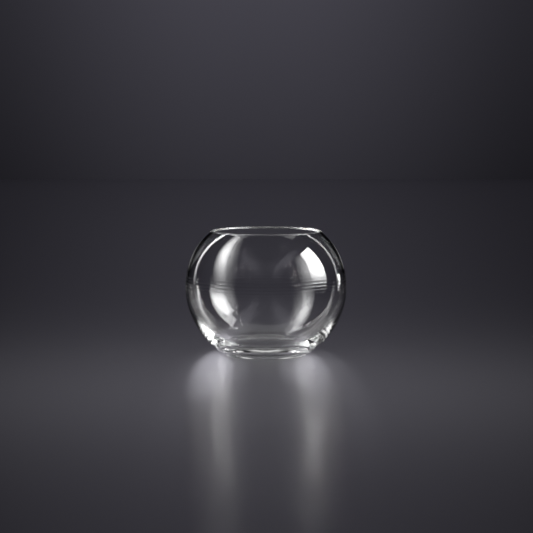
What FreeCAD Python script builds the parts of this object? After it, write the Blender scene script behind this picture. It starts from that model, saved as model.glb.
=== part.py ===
import FreeCAD, Part
import math
import os

# A rose bowl: one hollow piece of clear glass, round about the Z axis.
# It stands on z = 0 and the origin is the centre of the face that it stands on.
# The whole outline is made of circular arcs that meet with no corner.

# Outside sizes, in millimetres
body_diameter = 152.0       # widest diameter of the belly
belly_height = 65.3         # level of the widest circle
height = 117.6              # top of the rim
mouth_opening = 99.6        # clear diameter inside the rim
foot_diameter = 75.4        # where the belly would meet the table without its rounded heel
heel_radius = 3.5           # rounding between the belly and the bearing ring

# Glass thickness
wall = 2.4                  # from the belly up to the rim
heel_wall = 8.0             # square to the outside, where the wall meets the inner floor
floor_thickness = 7.5       # height of the inner floor above the table
floor_corner_radius = 20.0  # rounding between the inner wall and the inner floor

# Underside
bearing_ring_width = 7.0    # flat ring that carries the bowl
punt_depth = 2.0            # rise of the hollow in the middle of the underside
punt_edge_radius = 2.0      # rounding between the hollow and the bearing ring

axis_origin = FreeCAD.Vector(0, 0, 0)
axis_direction = FreeCAD.Vector(0, 0, 1)
full_turn = 360.0


def point(radius, level):
    """A point of the half section, by its distance from the axis and its level."""
    return FreeCAD.Vector(radius, 0, level)


def arc_radius(lean, rise):
    """Radius of an arc that starts upright and leans over by lean within rise."""
    return (lean ** 2 + rise ** 2) / (2 * lean)


def wall_arc(belly_radius, end):
    """Centre and radius of the arc that is upright at the belly and passes through end."""
    radius = arc_radius(belly_radius - end.x, end.z - belly_height)
    return point(belly_radius - radius, belly_height), radius


def thickened(arc, thickness):
    """The arc with the same centre, further out by thickness."""
    centre, radius = arc
    return centre, radius + thickness


def on_arc(arc, towards):
    """The point of an arc that lies in the direction of another point."""
    centre, radius = arc
    direction = (towards - centre).normalize()
    return centre + direction * radius


def crossing(arc, level):
    """The outer point of an arc at a level."""
    centre, radius = arc
    return point(centre.x + math.sqrt(radius ** 2 - (level - centre.z) ** 2), level)


def corner_centre(arc, level, corner_radius):
    """Centre of the rounding above level that meets an arc from inside."""
    return crossing(thickened(arc, -corner_radius), level + corner_radius)


def curve(arc, start, end):
    """The piece of an arc between two of its points."""
    middle = on_arc(arc, (start + end) / 2)
    return Part.Arc(start, middle, end).toShape()


def line(start, end):
    return Part.LineSegment(start, end).toShape()


def rim_section():
    """Centre of the round rim, and the arc through the middle of the upper wall."""
    centre = point(mouth_opening / 2 + wall / 2, height - wall / 2)
    return centre, wall_arc(body_diameter / 2 - wall / 2, centre)


def lower_outside():
    """The arc of the belly below its widest circle."""
    return wall_arc(body_diameter / 2, point(foot_diameter / 2, 0))


def lower_inside():
    """The arc of the inner wall below the widest circle, thicker towards the heel."""
    foot = crossing(thickened(lower_outside(), -heel_wall), floor_thickness)
    return wall_arc(body_diameter / 2 - wall, foot)


def punt_arc(edge_radius):
    """The shallow dome under the floor, hollow towards the table."""
    radius = arc_radius(punt_depth, edge_radius)
    return point(0, punt_depth - radius), radius


def underside_edges(heel_centre):
    """The punt, its soft edge and the flat bearing ring, from the axis outwards."""
    ring_outer = point(heel_centre.x, 0)
    dome = punt_arc(ring_outer.x - bearing_ring_width)
    edge_centre = crossing(thickened(dome, punt_edge_radius), punt_edge_radius)
    soft_edge = (edge_centre, punt_edge_radius)
    crown = point(0, punt_depth)
    dome_end = on_arc(dome, edge_centre)
    ring_inner = point(edge_centre.x, 0)
    return [
        curve(dome, crown, dome_end),
        curve(soft_edge, dome_end, ring_inner),
        line(ring_inner, ring_outer),
    ]


def outside_edges(heel_centre, rim_start, shoulder):
    """The heel, the lower belly and the shoulder, from the table up to the rim."""
    lower = lower_outside()
    heel = (heel_centre, heel_radius)
    heel_end = on_arc(lower, heel_centre)
    belly = point(body_diameter / 2, belly_height)
    return [
        curve(heel, point(heel_centre.x, 0), heel_end),
        curve(lower, heel_end, belly),
        curve(shoulder, belly, rim_start),
    ]


def inside_edges(rim_end, shoulder):
    """The inner shoulder, the inner wall, its rounded corner and the inner floor."""
    lower = lower_inside()
    belly = point(body_diameter / 2 - wall, belly_height)
    centre = corner_centre(lower, floor_thickness, floor_corner_radius)
    corner = (centre, floor_corner_radius)
    corner_start = on_arc(lower, centre)
    corner_end = point(centre.x, floor_thickness)
    return [
        curve(shoulder, rim_end, belly),
        curve(lower, belly, corner_start),
        curve(corner, corner_start, corner_end),
        line(corner_end, point(0, floor_thickness)),
    ]


def rim_edge(rim_centre, rim_start, rim_end):
    """The half round that ends the wall, as a flame leaves it."""
    rim = (rim_centre, wall / 2)
    along_wall = (rim_end - rim_start).cross(FreeCAD.Vector(0, 1, 0))
    top = on_arc(rim, rim_centre - along_wall)
    return Part.Arc(rim_start, top, rim_end).toShape()


def bowl_section():
    """The closed half section of the glass."""
    rim_centre, middle_arc = rim_section()
    outer_shoulder = thickened(middle_arc, wall / 2)
    inner_shoulder = thickened(middle_arc, -wall / 2)
    rim_start = on_arc(outer_shoulder, rim_centre)
    rim_end = on_arc(inner_shoulder, rim_centre)
    heel_centre = corner_centre(lower_outside(), 0, heel_radius)
    edges = underside_edges(heel_centre)
    edges += outside_edges(heel_centre, rim_start, outer_shoulder)
    edges.append(rim_edge(rim_centre, rim_start, rim_end))
    edges += inside_edges(rim_end, inner_shoulder)
    edges.append(line(point(0, floor_thickness), point(0, punt_depth)))
    return Part.Face(Part.Wire(edges))


def glass_bowl():
    """The bowl, turned about its axis in one piece."""
    turned = bowl_section().revolve(axis_origin, axis_direction, full_turn)
    return Part.Solid(turned.Shells[0])


def main():
    os.makedirs("parts", exist_ok=True)
    bowl = glass_bowl()
    bowl.exportStep("parts/glass_bowl.step")
    box = bowl.BoundBox
    print("glass_bowl valid:", bowl.isValid(), "closed:", bowl.Shells[0].isClosed())
    print("size mm:", round(box.XLength, 3), round(box.YLength, 3), round(box.ZLength, 3))
    print("volume of glass cm3:", round(bowl.Volume / 1000, 2))


main()
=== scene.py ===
# %% [markdown]
# # A rose bowl in clear glass
# The object is one piece: a low round bowl of thin blown glass with a wide mouth, a heavier base and a rim that
# a flame has rounded. This lesson draws the half section of the glass, turns it into the bowl, gives it a glass
# that bends light as soda-lime glass does, and lights it in a low-key studio so that its edges show.
#
# A clear thing has no colour of its own to paint. What the eye sees is the room, bent and mirrored by the glass,
# so the shape has to be exact and the lamps have to stand where the real ones stood.

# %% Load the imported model
import math

import bpy
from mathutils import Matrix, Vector


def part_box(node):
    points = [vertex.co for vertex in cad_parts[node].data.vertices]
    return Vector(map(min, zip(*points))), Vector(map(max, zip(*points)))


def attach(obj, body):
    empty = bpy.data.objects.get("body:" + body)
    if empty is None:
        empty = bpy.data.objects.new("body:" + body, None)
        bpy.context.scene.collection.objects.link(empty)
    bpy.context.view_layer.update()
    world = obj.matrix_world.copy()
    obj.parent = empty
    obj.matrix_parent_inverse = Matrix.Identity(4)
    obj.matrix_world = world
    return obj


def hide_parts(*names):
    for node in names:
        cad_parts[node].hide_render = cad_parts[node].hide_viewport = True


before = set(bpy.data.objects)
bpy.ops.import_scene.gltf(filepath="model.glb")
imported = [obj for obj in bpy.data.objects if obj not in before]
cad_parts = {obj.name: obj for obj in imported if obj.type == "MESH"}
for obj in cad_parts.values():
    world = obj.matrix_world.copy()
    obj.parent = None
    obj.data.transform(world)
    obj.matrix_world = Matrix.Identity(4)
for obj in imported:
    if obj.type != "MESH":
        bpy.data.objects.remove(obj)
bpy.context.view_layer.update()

MM = 0.001
scene = bpy.context.scene
low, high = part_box("glass_bowl")
print("CAD bowl, mm:", [round(side / MM, 1) for side in high - low])

# %% [markdown]
# ## The sizes of the glass
# The CAD node gives the outside: its widest circle and its height. The other sizes are the same as in the CAD
# part, so the dressed bowl and the solid are one shape. The CAD mesh itself is made of loose triangles that are
# fine for a check but show as facets in a mirror-smooth surface, so a finer mesh of the same shape replaces it.

# %% Sizes in metres
body_radius = high.x
bowl_height = high.z
belly_level = 65.3 * MM
mouth_radius = 49.8 * MM
foot_radius = 37.7 * MM
heel_radius = 3.5 * MM
wall = 2.4 * MM
heel_wall = 8.0 * MM
floor_thickness = 7.5 * MM
floor_corner_radius = 20.0 * MM
bearing_ring_width = 7.0 * MM
punt_depth = 2.0 * MM
punt_edge_radius = 2.0 * MM
print("wall is", round(wall / body_radius, 3), "of the body radius")

# %% [markdown]
# ## Arcs that meet without a corner
# Molten glass has no sharp corners, so the section is made of circular arcs, each starting in the direction in
# which the last one ended. An arc is kept as its centre and radius, in the plane x, z. A thicker or thinner skin
# is the same centre with another radius, which is what keeps a blown wall even.

# %% Arc helpers
def point(radius, level):
    """A point of the section, by its distance from the axis and its level."""
    return Vector((radius, 0, level))


def arc_radius(lean, rise):
    """Radius of an arc that starts upright and leans over by lean within rise."""
    return (lean ** 2 + rise ** 2) / (2 * lean)


def wall_arc(belly_radius, end):
    """The arc that is upright at the belly and passes through end."""
    radius = arc_radius(belly_radius - end.x, end.z - belly_level)
    return point(belly_radius - radius, belly_level), radius


def thickened(arc, thickness):
    """The arc with the same centre, further out by thickness."""
    return arc[0], arc[1] + thickness


def on_arc(arc, towards):
    """The point of an arc that lies in the direction of another point."""
    return arc[0] + (towards - arc[0]).normalized() * arc[1]


def crossing(arc, level):
    """The outer point of an arc at a level."""
    centre, radius = arc
    return point(centre.x + math.sqrt(radius ** 2 - (level - centre.z) ** 2), level)


def corner_centre(arc, level, radius):
    """Centre of the rounding above level that meets an arc from inside."""
    return crossing(thickened(arc, -radius), level + radius)


print("outer arc below the belly, radius in mm:", round(wall_arc(body_radius, point(foot_radius, 0))[1] / MM, 2))

# %% [markdown]
# ## The wall and the rim
# Above the belly the wall keeps one thickness, so both skins share the centre of the arc that runs through its
# middle. The middle arc ends in the centre of the rim, which is a half round as wide as the wall.

# %% The shoulder and the rim
rim_centre = point(mouth_radius + wall / 2, bowl_height - wall / 2)
middle_arc = wall_arc(body_radius - wall / 2, rim_centre)
outer_shoulder = thickened(middle_arc, wall / 2)
inner_shoulder = thickened(middle_arc, -wall / 2)

rim = (rim_centre, wall / 2)
rim_start = on_arc(outer_shoulder, rim_centre)
rim_end = on_arc(inner_shoulder, rim_centre)
rim_top = on_arc(rim, rim_centre + (rim_end - rim_start).cross(Vector((0, -1, 0))))
print("shoulder arc, mm:", round(middle_arc[1] / MM, 2), " rim top, mm:", round(rim_top.z / MM, 2))

# %% [markdown]
# ## The heavy base
# Glass sinks and gathers at the bottom of a blown bowl, so below the belly the inner arc draws away from the outer
# one and runs into a thick floor through a wide rounding. Underneath, a shallow hollow leaves a flat ring that the
# bowl stands on.

# %% The lower wall, the floor and the underside
outer_lower = wall_arc(body_radius, point(foot_radius, 0))
inner_foot = crossing(thickened(outer_lower, -heel_wall), floor_thickness)
inner_lower = wall_arc(body_radius - wall, inner_foot)
inner_corner = (corner_centre(inner_lower, floor_thickness, floor_corner_radius), floor_corner_radius)
heel = (corner_centre(outer_lower, 0, heel_radius), heel_radius)

dome_radius = arc_radius(punt_depth, heel[0].x - bearing_ring_width)
dome = (point(0, punt_depth - dome_radius), dome_radius)
soft_edge = (crossing(thickened(dome, punt_edge_radius), punt_edge_radius), punt_edge_radius)
print("flat inner floor, mm across:", round(2 * inner_corner[0].x / MM, 1))

# %% [markdown]
# ## Drawing the half section
# By hand one would add a single point and pull it along the outline. Here a plane is merged to one point at the
# middle of the underside. Each arc is then a spin of the last point about the arc's centre, and each straight
# run is an extrusion. The angle of a spin is worked out from the two ends, so a wrong size shows up at once as a
# gap between the point that was reached and the one that was planned.

# %% Start with one point
bpy.ops.object.select_all(action="DESELECT")
bpy.ops.mesh.primitive_plane_add(size=wall, location=(0, 0, 0))
bowl = bpy.context.object
bowl.name = "rose_bowl"
bowl.data.name = "rose_bowl"
bpy.ops.object.mode_set(mode="EDIT")
bpy.ops.mesh.select_all(action="SELECT")
bpy.ops.mesh.merge(type="CENTER")
bpy.ops.transform.translate(value=(0, 0, punt_depth))
print("started at the crown of the hollow, mm:", punt_depth / MM)


# %% Pull the point along the outline
def spin_along(arc, start, end, steps):
    """Spins the last point about the centre of an arc, from start to end."""
    centre = arc[0]
    start_angle = math.atan2(start.x - centre.x, start.z - centre.z)
    end_angle = math.atan2(end.x - centre.x, end.z - centre.z)
    turn = (end_angle - start_angle + math.pi) % (2 * math.pi) - math.pi
    bpy.ops.mesh.spin(steps=steps, angle=turn, center=centre, axis=(0, -1, 0))


def extrude_along(start, end, steps):
    """Extrudes the last point from start to end in equal steps."""
    step = (end - start) / steps
    for _ in range(steps):
        bpy.ops.mesh.extrude_region_move(TRANSFORM_OT_translate={"value": step})


# Each row is an arc, or None for a straight run, then its end and its number of steps.
outline = [
    (dome, on_arc(dome, soft_edge[0]), 20),
    (soft_edge, point(soft_edge[0].x, 0), 6),
    (None, point(heel[0].x, 0), 3),
    (heel, on_arc(outer_lower, heel[0]), 12),
    (outer_lower, point(body_radius, belly_level), 48),
    (outer_shoulder, rim_start, 44),
    (rim, rim_top, 10),
    (rim, rim_end, 10),
    (inner_shoulder, point(body_radius - wall, belly_level), 44),
    (inner_lower, on_arc(inner_lower, inner_corner[0]), 44),
    (inner_corner, point(inner_corner[0].x, floor_thickness), 18),
    (None, point(0, floor_thickness), 10),
]
pen = point(0, punt_depth)
for arc, end, steps in outline:
    if arc:
        spin_along(arc, pen, end, steps)
    else:
        extrude_along(pen, end, steps)
    pen = end

bpy.ops.object.mode_set(mode="OBJECT")
section = [vertex.co for vertex in bowl.data.vertices]
print("section points:", len(section), " ends at, mm:", [round(c / MM, 3) for c in section[-1]])
print("widest, mm:", round(max(c.x for c in section) / MM, 3), " top, mm:", round(max(c.z for c in section) / MM, 3))

# %% [markdown]
# ## Turning the section into the bowl
# The whole section is selected and spun once round the Z axis. The first and the last copy lie on each other and
# every point on the axis is there many times, so doubles are merged. A spin can leave the skin inside out, which
# would make the glass bend light the wrong way, so the normals are worked out again afterwards.

# %% One full turn
turn_steps = 240
merge_distance = 0.005 * MM
bpy.ops.object.mode_set(mode="EDIT")
bpy.ops.mesh.select_all(action="SELECT")
bpy.ops.mesh.spin(steps=turn_steps, angle=2 * math.pi, center=(0, 0, 0), axis=(0, 0, 1))
bpy.ops.mesh.select_all(action="SELECT")
bpy.ops.mesh.remove_doubles(threshold=merge_distance)
bpy.ops.mesh.normals_make_consistent(inside=False)
bpy.ops.object.mode_set(mode="OBJECT")
bpy.ops.object.shade_smooth()
print("bowl faces:", len(bowl.data.polygons), " size, mm:", [round(s / MM, 2) for s in bowl.dimensions])

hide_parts("glass_bowl")
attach(bowl, "root")

# %% [markdown]
# ## Material helpers
# Colours are written as sRGB hex values, as a colour picker shows them, and one function turns them to the linear
# values that a shader needs. One more function adds a node, sets its values and links its inputs.

# %% Colours and nodes
def linear(hex_colour):
    """The linear colour of an sRGB hex value."""
    shares = [int(hex_colour[i:i + 2], 16) / 255 for i in (1, 3, 5)]
    return [s / 12.92 if s <= 0.04045 else ((s + 0.055) / 1.055) ** 2.4 for s in shares] + [1.0]


def add_node(tree, kind, values=None, links=None, **settings):
    """Adds a node to a tree, with its settings, its socket values and the sockets that feed it."""
    node = tree.nodes.new(kind)
    for name, value in settings.items():
        setattr(node, name, value)
    for socket, value in (values or {}).items():
        node.inputs[socket].default_value = value
    for socket, source in (links or {}).items():
        tree.links.new(source, node.inputs[socket])
    return node


def new_material(name):
    """An empty node material and its output node."""
    material = bpy.data.materials.new(name)
    material.use_nodes = True
    material.node_tree.nodes.clear()
    return material, add_node(material.node_tree, "ShaderNodeOutputMaterial")


print("mid grey #808080 is", round(linear("#808080")[0], 3), "in linear light")

# %% [markdown]
# ## The waves in the skin
# Blowing leaves the glass very slightly wavy, with rings round the belly where the turning mould touched it, so the
# mirrored lamps ripple a little there. The waves are drawn by a bump: a slow one, and closer rings that fade away
# from the belly. The rings are a sine of the height, so they run round the bowl as the mould did.

# %% Skin of the glass
slow_wave_length = 30 * MM
ring_pitch = 3 * MM
ring_share = 0.7
rings_full_within = 6 * MM
rings_gone_beyond = 14 * MM
wave_height = 0.04 * MM

glass, glass_output = new_material("soda_lime_glass_mould_blown_fire_polished")
tree = glass.node_tree
place = add_node(tree, "ShaderNodeTexCoord").outputs["Object"]
slow_waves = add_node(tree, "ShaderNodeTexNoise", {"Scale": 1 / slow_wave_length, "Detail": 1.0, "Roughness": 0.4},
                      {"Vector": place})
level = add_node(tree, "ShaderNodeSeparateXYZ", links={"Vector": place}).outputs["Z"]
above_belly = add_node(tree, "ShaderNodeMath", {1: belly_level}, {0: level}, operation="SUBTRACT")
off_belly = add_node(tree, "ShaderNodeMath", links={0: above_belly.outputs["Value"]}, operation="ABSOLUTE")
near_belly = add_node(tree, "ShaderNodeMapRange", {
    "From Min": rings_full_within, "From Max": rings_gone_beyond, "To Min": ring_share, "To Max": 0.0,
}, {"Value": off_belly.outputs["Value"]}, interpolation_type="SMOOTHSTEP")
angle = add_node(tree, "ShaderNodeMath", {1: 2 * math.pi / ring_pitch}, {0: level}, operation="MULTIPLY")
rings = add_node(tree, "ShaderNodeMath", links={0: angle.outputs["Value"]}, operation="SINE")
waves = add_node(tree, "ShaderNodeMath", links={
    0: rings.outputs["Value"], 1: near_belly.outputs["Result"], 2: slow_waves.outputs["Fac"],
}, operation="MULTIPLY_ADD")
skin = add_node(tree, "ShaderNodeBump", {"Strength": 1.0, "Distance": wave_height},
                {"Height": waves.outputs["Value"]})
print("waves per bowl height:", round(bowl_height / slow_wave_length, 1), " rings near the belly:",
      round(2 * rings_gone_beyond / ring_pitch))

# %% [markdown]
# ## The glass
# The bowl is colourless soda-lime glass, blown in a turning mould and polished by flame. It has a refractive index
# of 1.52, and the flame leaves it with no roughness, which gives the eye sharp highlights and clean black lines. So
# a clear shader with full transmission does all of it. A trace of iron tints only long paths through the base: that
# is an absorption in the volume, because a tint of the surface would colour thin and thick glass alike.

# %% Soda-lime glass
clear = add_node(tree, "ShaderNodeBsdfPrincipled", {
    "Base Color": linear("#ffffff"), "Roughness": 0.0, "IOR": 1.52, "Transmission Weight": 1.0,
}, {"Normal": skin.outputs["Normal"]})
iron = add_node(tree, "ShaderNodeVolumeAbsorption", {"Color": linear("#ecf2f0"), "Density": 1.0})
tree.links.new(clear.outputs["BSDF"], glass_output.inputs["Surface"])
tree.links.new(iron.outputs["Volume"], glass_output.inputs["Volume"])
bowl.data.materials.clear()
bowl.data.materials.append(glass)
print("glass nodes:", len(tree.nodes))

# %% [markdown]
# ## The table
# The bowl stands on a plain pale table top with a sprayed satin lacquer. Little light falls on it, so it looks
# grey. A plane is enough, because the camera sees no edge of it. The real top is smooth, so its material is one
# colour under a clear satin coat: the rougher base gives the eye an even grey, and the smoother coat over it draws
# the bright flanks of the bowl out into long soft streaks at this low angle.

# %% Table top
table_size = 6.0
bpy.ops.object.select_all(action="DESELECT")
bpy.ops.mesh.primitive_plane_add(size=table_size, location=(0, 0, 0))
table = bpy.context.object
table.name = "table_top"
lacquer, lacquer_output = new_material("pale_satin_lacquer")
satin = add_node(lacquer.node_tree, "ShaderNodeBsdfPrincipled", {
    "Base Color": linear("#d8d6e0"), "Roughness": 0.35, "IOR": 1.5,
    "Coat Weight": 1.0, "Coat Roughness": 0.22, "Coat IOR": 1.5,
})
lacquer.node_tree.links.new(satin.outputs["BSDF"], lacquer_output.inputs["Surface"])
table.data.materials.append(lacquer)
print("table, m:", table_size)

# %% [markdown]
# ## The backdrop
# Behind the table hangs a plain paper that is lit from above: a soft glow at the top that fades downwards and to the
# sides. It could be lit by one more lamp, but then its light would also fall on the glass, so the paper itself glows
# with that falloff. It is only a little wider than the picture, because the dark beside it is what draws the black
# lines along the inside of the outline.

# %% Backdrop sheet
backdrop_distance = 3.0
backdrop_width = 1.24
backdrop_height = 1.0
bpy.ops.object.select_all(action="DESELECT")
bpy.ops.mesh.primitive_plane_add(size=1, location=(0, backdrop_distance, backdrop_height / 2),
                                 rotation=(math.pi / 2, 0, 0))
backdrop = bpy.context.object
backdrop.name = "backdrop"
backdrop.scale = (backdrop_width, backdrop_height, 1)
bpy.ops.object.transform_apply(location=True, rotation=True, scale=True)
print("backdrop, m:", [round(side, 2) for side in backdrop.dimensions])

# %% Backdrop paper
glow_low, glow_high = 0.0355, 0.067
glow_top = 0.40
glow_aside = -0.03
full_within, dim_beyond = 0.05, 0.70
dim_share = 0.35

paper, paper_output = new_material("backdrop_paper_painted_glow")
tree = paper.node_tree
where = add_node(tree, "ShaderNodeSeparateXYZ",
                 links={"Vector": add_node(tree, "ShaderNodeTexCoord").outputs["Object"]})
rise = add_node(tree, "ShaderNodeMapRange", {
    "From Min": 0.0, "From Max": glow_top, "To Min": glow_low, "To Max": glow_high,
}, {"Value": where.outputs["Z"]})
middle = add_node(tree, "ShaderNodeMath", {1: glow_aside}, {0: where.outputs["X"]}, operation="SUBTRACT")
away = add_node(tree, "ShaderNodeMath", operation="ABSOLUTE", links={0: middle.outputs["Value"]})
sides = add_node(tree, "ShaderNodeMapRange", {
    "From Min": full_within, "From Max": dim_beyond, "To Min": 1.0, "To Max": dim_share,
}, {"Value": away.outputs["Value"]}, interpolation_type="SMOOTHSTEP")
share = add_node(tree, "ShaderNodeMath", operation="MULTIPLY",
                 links={0: rise.outputs["Result"], 1: sides.outputs["Result"]})
# Painted light: the paper glows by itself, brightest at the top and dimmer downwards and to the sides, as a lamp
# above would light it.
glow = add_node(tree, "ShaderNodeEmission", {"Color": linear("#eae6ff")}, {"Strength": share.outputs["Value"]})
tree.links.new(glow.outputs["Emission"], paper_output.inputs["Surface"])
backdrop.data.materials.append(paper)
print("backdrop glow:", glow_low, "to", glow_high)

# %% [markdown]
# ## The lamps on the glass
# Glass is lit from the sides and from behind, so that the lamps show as clean shapes along its edges. Real softboxes
# are brightest near their own lamp, so a lamp's brightness falls off across and upwards by two ramps, each a row of
# (place, share). On set, black flags keep these lamps off the table; here each lamp is linked to the glass alone.

# %% A lamp for the glass alone
even = ((0, 1), (1, 1))
glass_only = bpy.data.collections.new("glass_only")
glass_only.objects.link(bowl)


def soft_lamp(name, width, height, radiance, upwards=even, across=even):
    """A rectangular lamp of a given brightness that lights nothing but the glass."""
    lamp = bpy.data.lights.new(name, "AREA")
    lamp.shape = "RECTANGLE"
    lamp.size, lamp.size_y = width, height
    lamp.energy = radiance * math.pi * width * height
    lamp.use_nodes = True
    tree = lamp.node_tree
    uv = add_node(tree, "ShaderNodeSeparateXYZ",
                  links={"Vector": add_node(tree, "ShaderNodeTexCoord").outputs["UV"]})
    falloffs = {}
    for index, (side, stops) in enumerate((("X", across), ("Y", upwards))):
        ramp = add_node(tree, "ShaderNodeValToRGB", links={"Fac": uv.outputs[side]})
        elements = ramp.color_ramp.elements
        while len(elements) < len(stops):
            elements.new(0.5)
        for element, (place, share) in zip(elements, stops):
            element.position = place
            element.color = (share, share, share, 1)
        falloffs[index] = ramp.outputs["Color"]
    brightness = add_node(tree, "ShaderNodeMath", operation="MULTIPLY", links=falloffs)
    tree.links.new(brightness.outputs["Value"], tree.nodes["Emission"].inputs["Strength"])
    stand = bpy.data.objects.new(name, lamp)
    scene.collection.objects.link(stand)
    stand.light_linking.receiver_collection = glass_only
    stand.visible_camera = False
    print(name, "size, m:", round(width, 2), round(height, 2))
    return stand


# %% [markdown]
# ## Panels round the bowl
# Each lamp beside or behind the bowl is a tall panel that faces it. Its place is given as seen from the bowl,
# because that is how its mirror image is read off the picture: azimuth from the camera towards the right, and the
# lowest and highest elevation. The two softboxes make the broad soft shapes, and the right one has a wider, weaker
# glow round it.

# %% Side softboxes
panel_distance = 2.4


def panel(name, azimuths, elevations, radiance, upwards=even, across=even, lean=0):
    """A tall lamp between two azimuths and two elevations, in degrees, that faces the bowl."""
    left, right = (math.radians(a) for a in azimuths)
    bottom, top = (panel_distance * math.tan(math.radians(e)) for e in elevations)
    width = 2 * panel_distance * math.tan((right - left) / 2)
    stand = soft_lamp(name, width, top - bottom, radiance, upwards, across)
    middle = (left + right) / 2
    stand.location = (panel_distance * math.sin(middle), -panel_distance * math.cos(middle), (bottom + top) / 2)
    stand.rotation_euler = (math.pi / 2, math.radians(lean), middle)


panel("softbox_right", azimuths=(71, 99), elevations=(6, 48), radiance=18, lean=4,
      upwards=((0, 0.05), (0.12, 0.25), (0.3, 0.8), (0.45, 1), (1, 1)),
      across=((0, 0.4), (0.3, 1), (1, 1)))
panel("softbox_right_glow", azimuths=(50, 97), elevations=(2, 48), radiance=5, lean=4,
      upwards=((0, 0.1), (0.4, 1), (0.8, 0.5), (1, 0)),
      across=((0, 0), (0.4, 1), (1, 1)))
panel("softbox_left", azimuths=(-107, -58), elevations=(2, 68), radiance=13, lean=-26,
      upwards=((0, 0.05), (0.07, 0.2), (0.15, 0.35), (0.3, 0.8), (0.42, 1), (0.65, 0.6), (1, 0.3)),
      across=((0, 0.1), (0.22, 0.8), (0.36, 1), (0.5, 0.35), (0.75, 0.1), (1, 0)))

# %% [markdown]
# ## Strips behind the bowl
# Narrow strips behind the bowl draw the bright lines inside the outline. They lean away at the top, which bends the
# lines towards the rim. A low one adds the short bright bar in the right flank, and two faint ones near the table
# keep the outline itself from going black. A large softbox overhead lights the rim and the base.

# %% Strips and the lamp behind
panel("edge_strip_left", azimuths=(-135, -131), elevations=(0.5, 55), radiance=10, lean=-13,
      upwards=((0, 0.1), (0.3, 0.6), (0.5, 1), (1, 1)))
panel("edge_strip_right", azimuths=(131.5, 133.5), elevations=(0.5, 55), radiance=9, lean=13,
      upwards=((0, 0.3), (1, 1)))
panel("low_strip_right", azimuths=(126, 132), elevations=(0.5, 6), radiance=9)
panel("outline_strip_left", azimuths=(-171, -161), elevations=(0.3, 3.5), radiance=0.2)
panel("outline_strip_right", azimuths=(161, 171), elevations=(0.3, 3.5), radiance=0.2)


def aim(stand, target):
    """Turns a lamp so that it points at target."""
    stand.rotation_euler = (Vector(target) - stand.location).to_track_quat("-Z", "Y").to_euler()


back_lamp = soft_lamp("overhead_back_softbox", width=2.4, height=1.6, radiance=0.9)
back_lamp.location = (0, 1.0, 2.2)
aim(back_lamp, (0, 0, 60 * MM))

# %% [markdown]
# ## The light on the table
# The table is lit by itself, by a soft pool of light round the bowl from a small round lamp above it. The lamp is
# left out of the glass, where it would show as one more highlight, and it casts no shadow, as clear glass hardly
# shades a table.

# %% Pool lamp
def table_lamp(name, kind, power, place):
    """A lamp that glass neither mirrors nor passes on, and that casts no shadow."""
    lamp = bpy.data.lights.new(name, kind)
    lamp.energy = power
    lamp.use_shadow = False
    stand = bpy.data.objects.new(name, lamp)
    scene.collection.objects.link(stand)
    stand.location = place
    for ray in ("camera", "glossy", "transmission"):
        setattr(stand, "visible_" + ray, False)
    return stand


pool = table_lamp("pool_lamp", "AREA", power=0.30, place=(0.0, -0.22, 0.45))
pool.data.shape = "DISK"
pool.data.size = 0.25
print("pool lamp, W:", round(pool.data.energy, 2))

# %% [markdown]
# ## The light that the bowl gathers
# The thick heel of the bowl works as a lens: it gathers light from the lamps behind and throws it forward over the
# table in two bright streaks. A renderer that starts its rays at the camera finds this light only by luck, so a few
# narrow beams, low over the table, stand in for it. A beam that comes in low draws a long narrow ellipse.

# %% Beams across the table
beam_distance = 0.60
beam_height = 0.08
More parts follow.
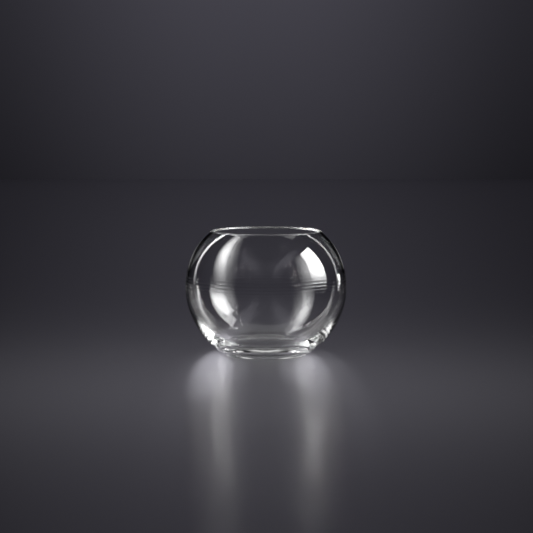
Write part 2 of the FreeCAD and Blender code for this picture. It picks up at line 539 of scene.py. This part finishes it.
# Each row is a name, the beam's x where it starts, the x and y where it lands, its power and its cone in degrees.
beams = [
    ("gathered_left", -0.036, -0.048, -0.11, 130, 3.6),
    ("gathered_left_wide", -0.036, -0.051, -0.16, 10, 6),
    ("gathered_left_inner", -0.020, -0.025, -0.10, 20, 2.2),
    ("gathered_right", 0.030, 0.041, -0.11, 80, 3.2),
    ("gathered_right_wide", 0.034, 0.055, -0.17, 20, 5),
    ("gathered_right_inner", 0.014, 0.022, -0.10, 30, 2.2),
]
for name, start_x, land_x, land_y, power, cone in beams:
    beam = table_lamp(name, "SPOT", power, (start_x, beam_distance, beam_height))
    beam.data.spot_size = math.radians(cone)
    beam.data.spot_blend = 1.0
    aim(beam, (land_x, land_y, 0))
print("beams:", len(beams))

# %% [markdown]
# ## The light of the room
# The studio is dark, with a little stray light that is slightly violet, as the table and the backdrop show. It
# reaches only the table and the camera, so that the glass keeps its black lines.

# %% Room light
room_colour = (0.029, 0.028, 0.033, 1)
room = bpy.data.worlds.new("dark_studio")
scene.world = room
room.use_nodes = True
room.node_tree.nodes["Background"].inputs["Color"].default_value = room_colour
room.cycles_visibility.glossy = False
room.cycles_visibility.transmission = False
print("room light:", room_colour[:3])

# %% [markdown]
# ## The camera
# The photograph was taken with a long lens from about 2.3 m, a little above the rim, tilted down 5 degrees. The
# distance was found from how round the rim and the base look: the closer the camera, the rounder they are.

# %% Camera
image_width = 533
focal_pixels = 2430.7
tilt_down = 5.223
camera_aside = 0.006 * body_radius
camera_distance = 30 * body_radius
camera_height = 3.841 * body_radius

camera_data = bpy.data.cameras.new("camera")
camera_data.sensor_width = 36.0
camera_data.lens = camera_data.sensor_width * focal_pixels / image_width
camera = bpy.data.objects.new("camera", camera_data)
scene.collection.objects.link(camera)
camera.location = (camera_aside, -camera_distance, camera_height)
camera.rotation_euler = (math.radians(90 - tilt_down), 0, 0)
scene.camera = camera
scene.view_settings.view_transform = "Standard"
print("lens, mm:", round(camera_data.lens, 1), " distance, m:", round(camera_distance, 2))

# %% [markdown]
# ## Enough bounces for glass
# The wall works as a light guide: a ray that enters it at a slant is mirrored to and fro between its two skins and
# can run half round the bowl before it leaves. This is why the lower flanks shine with the lamp of the other side.
# Where the renderer gives up too early the flanks go black, so it may follow a ray for very long. The light that
# the bowl throws on the table is left out here, as it comes out as noise; the beams above stand in for it.

# %% Light paths
longest_path = 256
scene.cycles.max_bounces = longest_path
scene.cycles.transmission_bounces = longest_path
scene.cycles.glossy_bounces = longest_path
scene.cycles.caustics_reflective = False
scene.cycles.caustics_refractive = False
print("longest path:", longest_path, "bounces")
